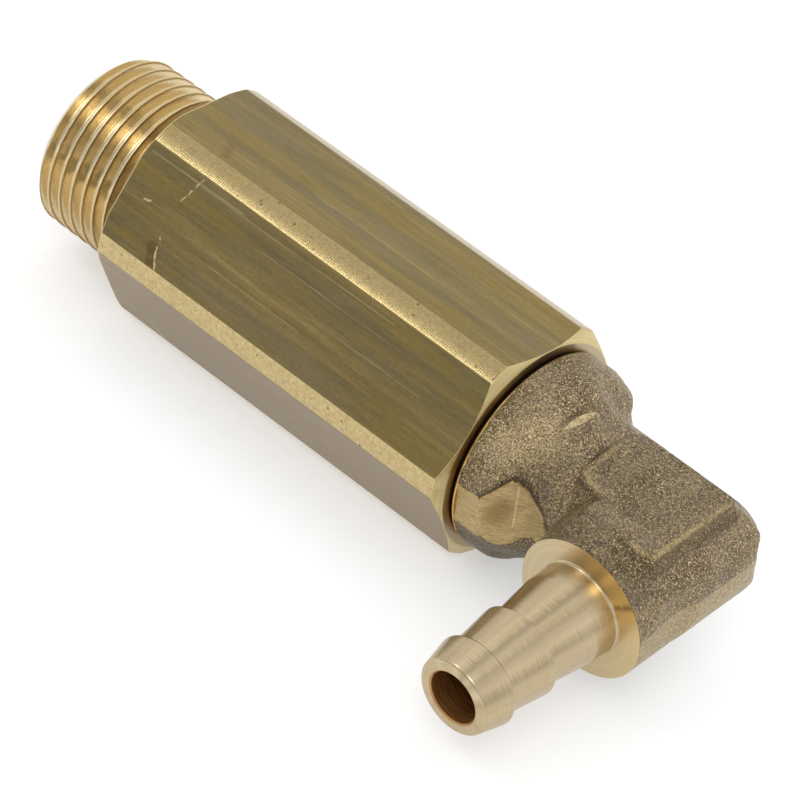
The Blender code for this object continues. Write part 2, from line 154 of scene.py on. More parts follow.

# Edges of the raised pad, worn and with a painted highlight, and painted shade at their feet:
# start, end and amount or width (mm)
pad_worn_lit_edges = (
    ((4.0, -7.1, 6.6), (1.9, -7.1, 6.6), 0.7),
    ((-6.3, 0.5, 6.6), (-6.1, -3.4, 6.6), 0.35),
    ((-5.9, -4.0, 6.6), (-4.9, -4.5, 6.6), 0.6),
    ((-4.9, -4.5, 6.6), (-3.6, -4.5, 6.6), 0.45),
)
pad_feet_shade = (
    ((-6.95, -0.5, 6.3), (-6.6, -3.9, 6.2), 0.45),
    ((-6.6, -3.9, 6.2), (-5.3, -5.2, 6.1), 0.5),
    ((-5.3, -5.2, 6.1), (-3.3, -5.1, 6.1), 0.6),
    ((-3.3, -5.1, 6.1), (-3.3, -7.2, 6.1), 0.4),
)

# Turned pieces (mm): place along the axis, radius and, at a rounded corner, its rounding
barb_profile = (
    (9.8, 2.4), (24.98, 2.4), (25.1, 2.52), (25.1, 3.5, 0.35), (22.2, 4.17, 0.32),
    (21.85, 3.56, 0.12), (17.62, 4.12, 0.1), (17.45, 4.1, 0.08), (17.25, 3.55, 0.1),
    (12.6, 4.15, 0.6), (10.55, 4.15), (10.40, 4.19), (10.32, 4.28), (10.29, 4.45), (9.8, 4.45),
)
spigot_profile = (
    (20.64, 4.0), (20.64, 9.28), (20.50, 9.32), (20.25, 9.08), (20.25, 7.2), (17.95, 7.2),
    (17.6, 7.6), (13.65, 7.6), (13.35, 7.3), (13.35, 4.0),
)

# Spring (mm): its two seats and its wire
spring_rear, spring_front = -9.2, 2.6
coil_radius = 4.2
wire_radius = 0.5
spring_turns = 6
coil_steps = 28
wire_sides = 12
seat_gap = 0.02
turn_gap = 0.15

# Floor, in metres, with its own brightness and the one that the camera and reflections add
floor_size = 3.0
floor_drop = 0.00005
floor_tone = 0.62
floor_glow = 0.46

# Light of the world around, stronger above and towards +Y
world_way = (0.0, 0.6, 0.6)
world_reach = (-0.6, 0.8)
world_light = (0.76, 1.4)


def add_camera():
    data = bpy.data.cameras.new("camera")
    data.lens = camera_lens
    data.sensor_width = camera_sensor
    data.clip_start = 0.01
    data.clip_end = 20.0
    camera = bpy.data.objects.new("camera", data)
    bpy.context.scene.collection.objects.link(camera)
    camera.location = Vector(camera_place) * mm
    forward = Vector(camera_aim) - Vector(camera_place)
    turn = forward.to_track_quat("-Z", "Y") @ Quaternion((0.0, 0.0, 1.0), camera_roll)
    camera.rotation_euler = turn.to_euler()
    bpy.context.scene.camera = camera


# Finishes

def paint(red, green, blue):
    """A colour as it is read from a screen, 0 to 255, in the renderer's linear values."""
    linear = []
    for value in (red / 255, green / 255, blue / 255):
        linear.append(value / 12.92 if value <= 0.04045 else ((value + 0.055) / 1.055) ** 2.4)
    return (*linear, 1.0)


def add_node(tree, kind, inputs, **settings):
    """A shader node with its settings, and with its inputs linked or set."""
    made = tree.nodes.new(kind)
    for key, value in settings.items():
        setattr(made, key, value)
    for key, value in inputs.items():
        if isinstance(value, bpy.types.NodeSocket):
            tree.links.new(value, made.inputs[key])
        else:
            made.inputs[key].default_value = value
    return made


class Finish:
    """A procedural material. Lengths in it are in mm, and noise scales are per mm."""

    def __init__(self, name, colour, roughness, metallic=1.0):
        self.material = bpy.data.materials.new(name)
        self.material.use_nodes = True
        self.tree = self.material.node_tree
        self.shader = self.tree.nodes["Principled BSDF"]
        self.shader.inputs["Base Color"].default_value = colour
        self.shader.inputs["Roughness"].default_value = roughness
        self.shader.inputs["Metallic"].default_value = metallic
        self.where = self.node("ShaderNodeTexCoord").outputs
        self.place = self.vector("SCALE", self.where["Object"], 1.0 / mm)

    def node(self, kind, inputs=None, **settings):
        return add_node(self.tree, kind, inputs or {}, **settings)

    def maths(self, operation, *values):
        inputs = dict(enumerate(values))
        return self.node("ShaderNodeMath", inputs, operation=operation).outputs[0]

    def plus(self, first, second):
        return self.maths("ADD", first, second)

    def minus(self, first, second):
        return self.maths("SUBTRACT", first, second)

    def times(self, first, second):
        return self.maths("MULTIPLY", first, second)

    def line(self, value, slope, start):
        """The value times the slope, plus the start."""
        return self.maths("MULTIPLY_ADD", value, slope, start)

    def most(self, first, second):
        return self.maths("MAXIMUM", first, second)

    def size(self, value):
        return self.maths("ABSOLUTE", value)

    def sway(self, value, amount):
        """A noise's difference from its middle, times an amount."""
        return self.times(self.minus(value, 0.5), amount)

    def vector(self, operation, first, second):
        inputs = {0: first, "Scale" if operation == "SCALE" else 1: second}
        made = self.node("ShaderNodeVectorMath", inputs, operation=operation)
        return made.outputs["Value" if operation in ("DOT_PRODUCT", "DISTANCE") else "Vector"]

    def split(self, vector=None):
        return self.node("ShaderNodeSeparateXYZ", {0: vector or self.place}).outputs

    def upward(self):
        """How far the surface faces up, from -1 to 1."""
        return self.split(self.where["Normal"])[2]

    def join(self, x, y, z):
        return self.node("ShaderNodeCombineXYZ", {0: x, 1: y, 2: z}).outputs[0]

    def stretch(self, by):
        return self.vector("MULTIPLY", self.place, by)

    def noise(self, scale, vector=None, detail=4.0, rough=0.6, twist=0.0, output="Fac"):
        inputs = {"Vector": vector or self.place, "Scale": scale, "Detail": detail}
        inputs.update({"Roughness": rough, "Distortion": twist})
        return self.node("ShaderNodeTexNoise", inputs).outputs[output]

    def band(self, value, low, high, to_low=0.0, to_high=1.0):
        inputs = {"Value": value, "From Min": low, "From Max": high}
        inputs.update({"To Min": to_low, "To Max": to_high})
        return self.node("ShaderNodeMapRange", inputs, interpolation_type="SMOOTHSTEP").outputs[0]

    def ramp(self, factor, *stops):
        """Colours along a factor, from stops of place, red, green and blue in rising order."""
        made = self.node("ShaderNodeValToRGB", {0: factor})
        elements = made.color_ramp.elements
        for stop in stops[1:-1]:
            elements.new(stop[0])
        for element, stop in zip(elements, stops):
            element.position = stop[0]
            element.color = paint(*stop[1:])
        return made.outputs[0]

    def mix(self, factor, first, second, blend="MIX"):
        inputs = {0: factor, 6: first, 7: second}
        return self.node("ShaderNodeMix", inputs, data_type="RGBA", blend_type=blend).outputs[2]

    def polar(self, centre=0.0):
        """Place along the turned axis (local X), distance from it and the angle around it."""
        x, y, z = self.split()
        z = self.minus(z, centre)
        radius = self.maths("SQRT", self.plus(self.times(y, y), self.times(z, z)))
        return x, radius, self.maths("ARCTAN2", z, y)

    def turned(self, polar, close, around, detail=3.0, rough=0.7):
        """Noise as turning leaves it: its scale along and across the axis, and around it."""
        x, radius, angle = polar
        along, out = self.times(x, close), self.times(radius, close)
        return self.noise(1.0, self.join(along, out, self.times(angle, around)), detail, rough)

    def near(self, start, end, radius, soft):
        """1 on the surface within a distance of a line between two points, 0 away from it."""
        way = Vector(end) - Vector(start)
        offset = self.vector("SUBTRACT", self.place, start)
        along = self.vector("DOT_PRODUCT", offset, way / way.length_squared)
        share = self.most(self.maths("MINIMUM", along, 1.0), 0.0)
        gap = self.vector("DISTANCE", offset, self.vector("SCALE", way, share))
        return self.band(gap, radius + soft, radius)

    def strokes(self, lines, soft):
        """1 on any of some lines, given by start, end and half width."""
        made = 0.0
        for start, end, radius in lines:
            made = self.most(self.near(start, end, radius, soft), made)
        return made

    def shade(self, colour, angle, spots):
        """The colour, lighter or darker around angles, as painted reflections and painted shade:
        middle, half width (degrees) and amount.
        """
        tone = 1.0
        for middle, half, amount in spots:
            gap = self.size(self.minus(angle, math.radians(middle)))
            part = self.band(gap, math.radians(half), 0.0, 1.0, 1.0 + amount)
            tone = self.times(part, tone)
        return self.vector("SCALE", colour, tone)

    def plane(self, terms):
        """Distance (mm) in front of the plane a x + b y + c z + d = 0."""
        return self.plus(self.vector("DOT_PRODUCT", self.place, terms[:3]), terms[3])

    def bump(self, height, distance):
        inputs = {"Height": height, "Distance": distance * mm, "Strength": 1.0}
        return self.node("ShaderNodeBump", inputs).outputs[0]

    def set(self, **sockets):
        for key, value in sockets.items():
            self.tree.links.new(value, self.shader.inputs[key.replace("_", " ").title()])
        return self.material


def drawn_finish():
    """Tarnished drawn bar: streaks and fine scores that run along the valve, and a few nicks."""
    made = Finish("drawn_bar", paint(136, 120, 80), 0.36)
    streak = made.noise(1.0, made.stretch((0.035, 0.75, 0.75)), detail=6.0, rough=0.7)
    hue = made.noise(1.0, made.stretch((0.05, 0.38, 0.38)), detail=3.0, twist=0.3)
    score = made.noise(1.0, made.stretch((0.16, 7.0, 7.0)), detail=3.0, rough=0.75)
    grit = made.noise(5.0, made.stretch((0.5, 1.0, 1.0)), detail=2.0)
    colour = made.ramp(
        streak, (0.30, 112, 103, 72), (0.42, 126, 114, 78), (0.50, 137, 121, 78),
        (0.58, 149, 130, 82), (0.72, 166, 146, 98),
    )
    colour = made.mix(made.band(hue, 0.50, 0.66, 0.0, 0.6), colour, paint(146, 124, 66))
    colour = made.mix(made.band(hue, 0.50, 0.36, 0.0, 0.55), colour, paint(138, 124, 94))
    colour = made.mix(made.band(score, 0.42, 0.60, 0.0, 0.30), colour, paint(100, 90, 62))
    colour = made.mix(made.band(score, 0.56, 0.74, 0.0, 0.45), colour, paint(184, 168, 126))
    colour = made.mix(made.band(grit, 0.45, 0.70, 0.0, 0.22), colour, paint(96, 84, 58))
    # Painted reflection of the floor: faces turned downwards are mixed towards a paler grey
    below = made.band(made.upward(), -0.2, -0.45, 0.0, 0.8)
    colour = made.mix(below, colour, paint(152, 134, 112))
    stain = made.near((-14.6, -10.15, 12.4), (-13.9, -10.9, 11.1), 0.25, 0.55)
    stain = made.times(stain, made.band(made.noise(1.3, detail=3.0), 0.38, 0.58, 0.2, 0.75))
    colour = made.mix(stain, colour, paint(106, 80, 50))
    stain = made.times(made.near((-13.8, -3.9, 20.0), (-14.6, -2.4, 20.0), 0.1, 0.6), 0.3)
    colour = made.mix(stain, colour, paint(110, 84, 60))
    straight = made.place
    wander = made.noise(1.6, detail=2.0, rough=0.5, output="Color")
    wander = made.vector("SCALE", made.vector("SUBTRACT", wander, (0.5, 0.5, 0.5)), 0.5)
    made.place = made.vector("ADD", straight, wander)
    marks = made.strokes(bar_marks, 0.05)
    made.place = straight
    colour = made.mix(marks, colour, paint(206, 186, 142))
    lines = made.times(made.strokes(bar_lines, 0.04), made.band(score, 0.35, 0.65, 0.15, 0.55))
    colour = made.mix(lines, colour, paint(196, 180, 138))
    normal = made.bump(made.minus(score, marks), 0.012)
    return made.set(base_color=colour, roughness=made.line(streak, 0.25, 0.24), normal=normal)


def land_finish():
    """Bright turned corners of the hexagon: close feed marks around the axis, and painted light: a
    brighter colour on the corners that face downwards.
    """
    made = Finish("turned_corner", paint(172, 150, 104), 0.2)
    drift = made.noise(0.8, detail=3.0)
    turns = made.plus(made.times(made.split()[0], 29.0), made.times(drift, 7.0))
    feed = made.line(made.maths("SINE", turns), 0.22, made.line(drift, 0.4, 0.3))
    grit = made.noise(3.5, rough=0.7)
    # Painted light: corners facing down take the brighter lower colour, those facing up the darker
    # upper colour
    upper = made.ramp(grit, (0.32, 142, 124, 82), (0.66, 170, 151, 106))
    lower = made.ramp(grit, (0.32, 166, 147, 102), (0.66, 206, 186, 138))
    colour = made.mix(made.band(made.upward(), 0.4, 0.2), upper, lower)
    colour = made.mix(made.band(feed, 0.40, 0.62, 0.0, 0.35), colour, paint(206, 185, 136))
    pits = made.node("ShaderNodeTexVoronoi", {"Vector": made.place, "Scale": 0.9})
    pits = made.band(pits.outputs["Distance"], 0.16, 0.05, 0.0, 0.8)
    colour = made.mix(pits, colour, paint(104, 86, 56))
    depth = made.plus(made.times(feed, 0.7), made.times(grit, 0.3))
    return made.set(base_color=colour, normal=made.bump(depth, 0.02))


def turned_finish(name, dark, light, roughness, centre=valve_axis, inner=None, tones=()):
    """Turned brass or steel: fine marks around the axis. Inner is a radius and its colour. Tones
    are bands of painted reflection and painted shade around the axis.
    """
    made = Finish(name, paint(*light), roughness)
    polar = made.polar(centre)
    rings = made.turned(polar, 9.0, 0.8)
    broad = made.turned(polar, 0.7, 1.6, detail=2.0, rough=0.6)
    tone = made.plus(made.times(rings, 0.55), made.times(broad, 0.45))
    colour = made.ramp(tone, (0.34, *dark), (0.64, *light))
    if inner:
        part = made.band(polar[1], inner[0] + 0.05, inner[0] - 0.05)
        colour = made.mix(part, colour, paint(*inner[1]))
    # Painted reflections and painted shade: bands lighter and darker by the angle around the axis
    if tones:
        colour = made.shade(colour, polar[2], tones)
    return made.set(base_color=colour, normal=made.bump(rings, 0.006))


def cast_skin(made, grain, fine):
    """Colour of the rough skin: dark pits, painted brass glints, and a painted highlight beside the
    collar.
    """
    colour = made.ramp(
        grain, (0.30, 80, 69, 60), (0.42, 112, 98, 80), (0.52, 138, 121, 92),
        (0.61, 178, 156, 112), (0.70, 250, 228, 180),
    )
    colour = made.mix(made.band(fine, 0.53, 0.70, 0.0, 0.55), colour, paint(226, 206, 160))
    colour = made.mix(made.band(fine, 0.48, 0.32, 0.0, 0.45), colour, paint(88, 75, 66))
    broad = made.noise(0.30)
    golden = made.band(broad, 0.42, 0.64, 0.0, 0.45)
    colour = made.mix(golden, colour, paint(150, 132, 88), "MULTIPLY")
    colour = made.mix(made.band(broad, 0.46, 0.30, 0.0, 0.35), colour, paint(120, 108, 100))
    # Painted highlight: a bright patch on the collar beside the run
    glow = made.near((-12.6, -6.0, 5.8), (-10.6, -3.8, 7.3), 0.3, 3.0)
    glow = made.times(glow, made.band(fine, 0.40, 0.62, 0.06, 0.60))
    colour = made.mix(glow, colour, paint(228, 202, 150))
    # Painted glints: near-white specks, stronger where the broad noise is high
    painted_glint = made.band(made.noise(6.5, detail=1.0, rough=0.5), 0.60, 0.68)
    painted_glint = made.times(painted_glint, made.band(broad, 0.30, 0.60, 0.25, 0.65))
    return made.mix(painted_glint, colour, paint(255, 238, 200))


def pad_wear_and_painted_light(made, colour, v, grain):
    """The raised pad's edges, worn and with a painted highlight, and painted shade in the corners
    at their feet.
    """
    # Worn edges with a painted highlight along them
    crest_highlight = made.near((4.1, -7.1, pad_top), (4.15, 2.3, pad_top), 0.0, 0.50)
    crest_highlight = made.times(crest_highlight, made.band(v, -6.5, 2.5, 0.75, 0.45))
    for start, end, amount in pad_worn_lit_edges:
        crest_highlight = made.most(crest_highlight, made.times(made.near(start, end, 0.0, 0.42), amount))
    crest_highlight = made.times(crest_highlight, made.band(grain, 0.35, 0.60, 0.35, 1.0))
    colour = made.mix(crest_highlight, colour, paint(212, 188, 132))
    # Painted shade along the feet of the pad's walls
    foot_shade = made.near((4.85, -7.4, 5.7), (4.9, 2.3, 5.7), 0.1, 0.85)
    for start, end, width in pad_feet_shade:
        foot_shade = made.most(foot_shade, made.near(start, end, 0.02, width))
    return made.mix(made.times(foot_shade, 0.62), colour, paint(70, 58, 42))


def nick_part(made, v, w, grain):
    """1 in the nick on top of the collar."""
    middle = made.minus(v, nick_middle)
    taper = made.times(made.times(middle, middle), 0.11)
    axis = made.plus(made.plane(nick_plane), made.sway(grain, 0.2))
    nick = made.band(made.plus(made.size(axis), taper), 0.42, 0.32)
    return made.times(nick, made.band(w, 7.0, 7.3))


def ground_part(made, u, v, w, edge):
    """1 on the ground patch, and a rim of up to 1 in the rough skin around it, which carries
    painted shade.
    """
    wheel = made.plus(made.plane(wheel_plane), edge)
    near = made.plus(made.plane(near_plane), edge)
    limit = made.plane(wheel_limits[0])
    for terms in wheel_limits[1:]:
        limit = made.most(limit, made.plane(terms))
    ground = made.times(made.band(wheel, -0.07, -0.04), made.band(limit, 0.12, 0.02))
    ground = made.times(made.most(ground, made.band(near, -0.07, -0.04)), made.band(u, -7.0, -7.3))
    ground = made.times(ground, made.band(v, -6.2, -6.4))
    # Painted shade: a dark rim in the rough skin above the ground patch
    rim = made.times(made.band(wheel, -0.6, -0.06), made.band(limit, 0.7, 0.1))
    rim = made.times(made.times(rim, made.band(w, 0.0, 0.8)), made.band(v, -5.0, -6.0))
    return ground, rim


def ground_tone(made):
    """Colour of the ground patch: wheel streaks, a brown stain and a painted highlight along a
    crease.
    """
    streak = made.noise(1.0, made.stretch((1.2, 1.2, 7.0)), rough=0.7)
    tone = made.ramp(streak, (0.30, 150, 128, 84), (0.68, 206, 182, 132))
    brown = made.near((-11.2, -8.4, 0.6), (-10.7, -8.0, 1.8), 0.2, 1.4)
    tone = made.mix(made.times(brown, 0.65), tone, paint(136, 106, 60))
    # Painted highlight: a bright line along the crease of the patch
    crease = made.near((-9.92, -7.31, 4.1), (-9.78, -7.66, 0.0), 0.04, 0.09)
    crease = made.times(crease, made.band(streak, 0.35, 0.60, 0.15, 0.6))
    return made.mix(crease, tone, paint(232, 212, 166))


def cast_finish():
    """Rough cast or forged skin: gritty, with brass glints, and the marks of its dressing."""
    made = Finish("rough_casting", paint(128, 112, 86), 0.5, metallic=0.8)
    u, v, w = made.split()
    grain = made.noise(4.0, rough=0.75)
    fine = made.noise(8.0, detail=2.0)
    edge = made.sway(grain, 0.25)
    colour = pad_wear_and_painted_light(made, cast_skin(made, grain, fine), v, grain)
    nick = nick_part(made, v, w, grain)
    scar = made.ramp(made.noise(3.0, detail=3.0), (0.35, 150, 130, 94), (0.6, 206, 188, 148))
    colour = made.mix(nick, colour, scar)
    ground, rim = ground_part(made, u, v, w, edge)
    # Painted shade: the rim around the ground patch is darkened
    colour = made.mix(made.times(rim, 0.75), colour, paint(66, 54, 40))
    colour = made.mix(ground, colour, ground_tone(made))
    # Painted shade: the underside of the collar is darkened, except on the ground patch
    shade_beneath = made.times(made.band(u, -8.6, -9.4), made.band(w, -1.2, -3.2, 0.0, 0.6))
    shade_beneath = made.times(shade_beneath, made.minus(1.0, ground))
    colour = made.mix(shade_beneath, colour, paint(72, 62, 48))
    side = made.times(made.band(u, 5.9, 6.15), made.band(made.plus(w, edge), 1.0, 0.8))
    side_tone = made.ramp(grain, (0.34, 140, 122, 92), (0.62, 206, 188, 148))
    colour = made.mix(made.times(side, 0.7), colour, side_tone)
    leg = made.times(made.band(v, -6.9, -7.3, 0.0, 0.26), made.band(w, 3.0, 4.5))
    duller = made.most(made.band(w, 6.0, 6.4, 0.0, 0.16), leg)
    duller = made.minus(1.0, made.times(duller, made.band(u, -7.0, -6.6)))
    colour = made.vector("SCALE", colour, duller)
    calm = made.most(made.most(nick, ground), made.times(side, 0.2))
    depth = made.plus(made.times(grain, 0.6), made.times(fine, 0.4))
    depth = made.times(depth, made.minus(1.0, made.times(calm, 0.85)))
    rough = made.line(grain, 0.5, 0.16)
    return made.set(base_color=colour, roughness=rough, normal=made.bump(depth, 0.17))


def thread_finish():
    """Cut thread: pale golden flanks, with painted light: bright crests, dark lines beside them,
    soft bands of painted reflection and painted shade, and a pale relief groove.
    """
    made = Finish("cut_thread", paint(225, 203, 153), 0.25)
    x, radius, angle = polar = made.polar(valve_axis)
    rings = made.turned(polar, 10.0, 3.0)
    colour = made.ramp(rings, (0.3, 208, 186, 142), (0.7, 226, 208, 168))
    cloud = made.sway(made.noise(0.9, detail=3.0), 0.5)
    # Painted reflections and painted shade: soft bands by the angle around the axis
    colour = made.shade(colour, made.plus(angle, cloud), thread_painted_bands)
    turn = made.line(x, 1.0 / thread_pitch, -(inlet_end + thread_phase) / thread_pitch)
    turn = made.maths("FRACT", made.minus(turn, made.maths("DIVIDE", angle, 2.0 * math.pi)))
    ragged = made.sway(made.noise(2.2, detail=3.0), 0.12)
    across = made.size(made.line(made.minus(turn, 0.5), thread_pitch, ragged))
    # Painted highlight: the crests turn near-white around 146 degrees, split there by a darker line
    # as a painted reflection
    lit = made.band(made.size(made.minus(angle, math.radians(146))), 0.36, 0.22)
    crest_highlight = made.mix(lit, paint(206, 186, 142), paint(250, 238, 208))
    # Painted shade: dark lines beside the crests
    beside = made.band(made.size(made.minus(across, 0.145)), 0.06, 0.02, 0.0, 0.7)
    glint_split_shade = made.times(made.band(across, 0.035, 0.01), lit)
    # Painted reflection: the outer part of the thread is mixed towards a darker gold
    colour = made.mix(made.band(radius, 8.05, 8.2, 0.0, 0.75), colour, paint(190, 158, 100))
    colour = made.mix(beside, colour, paint(120, 94, 52))
    colour = made.mix(made.band(across, 0.10, 0.05, 0.0, 0.95), colour, crest_highlight)
    colour = made.mix(made.times(glint_split_shade, 0.6), colour, paint(132, 104, 58))
    # Painted light: the relief groove next to the hexagon is painted near-white against its shade
    colour = made.mix(made.band(x, -21.25, -20.95), colour, paint(252, 234, 190))
    return made.set(base_color=colour, normal=made.bump(rings, 0.012))


def barb_finish():
    """Turned hose barb: pale brass with soft bands along it, among them bands of painted reflection
    and painted shade, and a bore with turned rings whose inside is painted darker and browner as
    painted shade.
    """
    made = Finish("turned_barb", paint(208, 188, 146), 0.27)
    x, radius, angle = polar = made.polar()
    rings = made.turned(polar, 8.0, 0.9)
    lines = made.join(made.times(x, 0.05), 0.0, made.times(angle, 3.2))
    tone = made.plus(made.times(rings, 0.45), made.times(made.noise(1.0, lines, detail=3.0), 0.55))
    colour = made.ramp(tone, (0.30, 172, 153, 116), (0.68, 198, 181, 150))
    # Painted reflections and painted shade: bands by the angle around the barb
    colour = made.shade(colour, made.plus(angle, made.sway(rings, 0.3)), barb_painted_bands)
    # Painted shade: the inside of the bore is a darker, browner brass
    inside = made.band(radius, 2.62, 2.45)
    bored = made.ramp(rings, (0.35, 152, 104, 56), (0.65, 200, 154, 96))
    colour = made.mix(inside, colour, bored)
    rough = made.line(inside, 0.25, 0.27)
    return made.set(base_color=colour, roughness=rough, normal=made.bump(rings, 0.006))


def shoulder_finish():
    """Faced shoulder behind the barb: rings around the barb's axis, and bands by the angle around
    it that are painted reflections, golden with a dark streak.
    """
    made = Finish("faced_shoulder", paint(200, 180, 140), 0.3)
    u, v, w = made.split()
    radius = made.maths("SQRT", made.plus(made.times(u, u), made.times(w, w)))
    rings = made.join(made.times(radius, 9.0), made.times(v, 6.0), 0.0)
    rings = made.noise(1.0, rings, detail=3.0)
    # Painted reflections: a golden band with a dark streak, by the angle around the barb's axis
    turn = made.line(made.maths("ARCTAN2", w, u), 0.5 / math.pi, 0.5)
    colour = made.ramp(
        made.plus(turn, made.sway(rings, 0.02)), (0.0, 194, 177, 142), (0.25, 200, 182, 144),
        (0.46, 206, 186, 142), (0.55, 226, 200, 146), (0.592, 238, 206, 138),
        (0.604, 158, 126, 80), (0.616, 240, 208, 140), (0.68, 238, 206, 140),
        (0.76, 202, 176, 130), (0.84, 196, 178, 142), (1.0, 194, 177, 142),
    )
    colour = made.mix(made.band(rings, 0.40, 0.65, 0.0, 0.3), colour, paint(220, 204, 168))
    return made.set(base_color=colour, normal=made.bump(rings, 0.005))


def plain_finish(name, colour, other, roughness, metallic):
    made = Finish(name, paint(*colour), roughness, metallic)
    speck = made.noise(3.0, detail=3.0)
    tone = made.ramp(speck, (0.35, *other), (0.65, *colour))
    return made.set(base_color=tone, normal=made.bump(speck, 0.01))


# Meshes

def make_mesh(name, vertices, faces, indices=None, merge=0.0):
    mesh = bpy.data.meshes.new(name)
    faces = [[int(corner) for corner in face] for face in faces]
    mesh.from_pydata(np.asarray(vertices).tolist(), [], faces)
    if indices is not None:
        mesh.polygons.foreach_set("material_index", np.asarray(indices, np.int32))
    bm = bmesh.new()
    bm.from_mesh(mesh)
    if merge:
        bmesh.ops.remove_doubles(bm, verts=bm.verts, dist=merge)
        bmesh.ops.dissolve_degenerate(bm, edges=bm.edges, dist=merge)
    bmesh.ops.recalc_face_normals(bm, faces=bm.faces)
    bm.to_mesh(mesh)
    bm.free()
    return mesh


def add_piece(name, mesh, materials, body, replaces=(), matrix=None, sharp=35.0):
    for item in materials:
        mesh.materials.append(item)
    piece = bpy.data.objects.new(name, mesh)
    bpy.context.scene.collection.objects.link(piece)
    if matrix is not None:
        piece.matrix_world = matrix
    mesh.shade_smooth()
    mesh.set_sharp_from_angle(angle=math.radians(sharp))
    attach(piece, body)
    if replaces:
        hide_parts(*replaces)
    return piece


def ring_faces(first, second, count):
    """Quads between two rows of a closed ring, from the numbers of their first vertices."""
    faces = []
    for j in range(count):
        after = (j + 1) % count
        faces.append((first + j, first + after, second + after, second + j))
    return faces


def spring_mesh():
    """The spring: a wire bent round, with a closed turn at each end."""
    start = spring_rear + wire_radius + seat_gap
    length = spring_front - wire_radius - seat_gap - start
    closed = (2.0 * wire_radius + turn_gap) / length
    end_turn = 1.0 / spring_turns
    count = spring_turns * coil_steps
    vertices = []
    for step in range(count + 1):
        share = step / count
        along = closed + (1.0 - 2.0 * closed) * (share - end_turn) / (1.0 - 2.0 * end_turn)
        if share < end_turn:
            along = closed * share / end_turn
        elif share > 1.0 - end_turn:
            along = 1.0 - closed * (1.0 - share) / end_turn
        angle = 2.0 * math.pi * step / coil_steps
        outward = Vector((0.0, math.cos(angle), math.sin(angle)))
        centre = Vector((start + length * along, 0.0, valve_axis)) + outward * coil_radius
        for side in range(wire_sides):
            turn = 2.0 * math.pi * side / wire_sides
            around = outward * math.cos(turn) + Vector((math.sin(turn), 0.0, 0.0))
            vertices.append((centre + around * wire_radius) * mm)
    last = count * wire_sides
    faces = [tuple(range(wire_sides)), tuple(range(last + wire_sides - 1, last - 1, -1))]
    for step in range(count):
        faces += ring_faces((step + 1) * wire_sides, step * wire_sides, wire_sides)
    return make_mesh("valve_spring_coil", vertices, faces)


def smooth_min(a, b, width):
    share = np.clip(0.5 + 0.5 * (b - a) / width, 0.0, 1.0)
    return b + (a - b) * share - width * share * (1.0 - share)


def smooth_max(a, b, width):
    return -smooth_min(-a, -b, width)


def thread_radius(x, angle):
    """Radius of the inlet thread's surface, run out into the relief and chamfered at its end."""
    turn = np.mod((x - inlet_end - thread_phase) / thread_pitch - angle / 360.0, 1.0)
    from_crest = np.abs(turn - 0.5) * thread_pitch
    slope = math.tan(thread_half_angle)
    full = thread_pitch / 2 / slope
    height = (thread_pitch / 2 - from_crest) / slope - (full - thread_depth) / 2
    height = smooth_max(smooth_min(height, thread_depth, 0.09), 0.0, 0.2)
    radius = thread_crest - thread_depth + height
    radius = np.minimum(radius, thread_crest - end_chamfer + (x - inlet_end))
    relief = -hex_half - relief_length - x
    return np.minimum(radius, thread_crest - thread_depth + np.maximum(relief, 0.0))


def bar_rows(outer):
    """The body's outside, from the mouth to the relief behind the thread: place, radius, skin."""
    root = thread_crest - thread_depth
    rows = [
        (hex_half, mouth_radius, face_skin),
        (hex_half, face_radius - 0.06, face_skin),
        (hex_half - 0.02, face_radius + 0.02, face_skin),
    ]
    for share in (0.08, 0.5, 0.94):
        radius = face_radius + share * (outer - face_radius)
        rows.append((hex_half - (radius - face_radius) * chamfer_slope, radius, face_skin))
    edge = hex_half - (outer - face_radius) * chamfer_slope
    rows += [(edge - 0.03, outer - 0.01, face_skin), (edge - 0.12, outer, flat_skin)]
    rows += [(x, outer, flat_skin) for x in np.linspace(18.9, -19.3, 9)]
    inward = np.clip(rear_reach - (corner_radius - outer) * chamfer_slope, 0.03, None)
    rear_edge = -hex_half + inward
    rear_radius = np.minimum(outer - 0.03, corner_radius - rear_reach / chamfer_slope)
    return rows + [
        (rear_edge + 0.08, outer, flat_skin),
        (rear_edge, outer - 0.01, face_skin),
        (-hex_half, rear_radius, face_skin),
        (-hex_half, root + 0.05, face_skin),
        (-hex_half - 0.05, root, thread_skin),
        (-hex_half - relief_length, root, thread_skin),
    ]


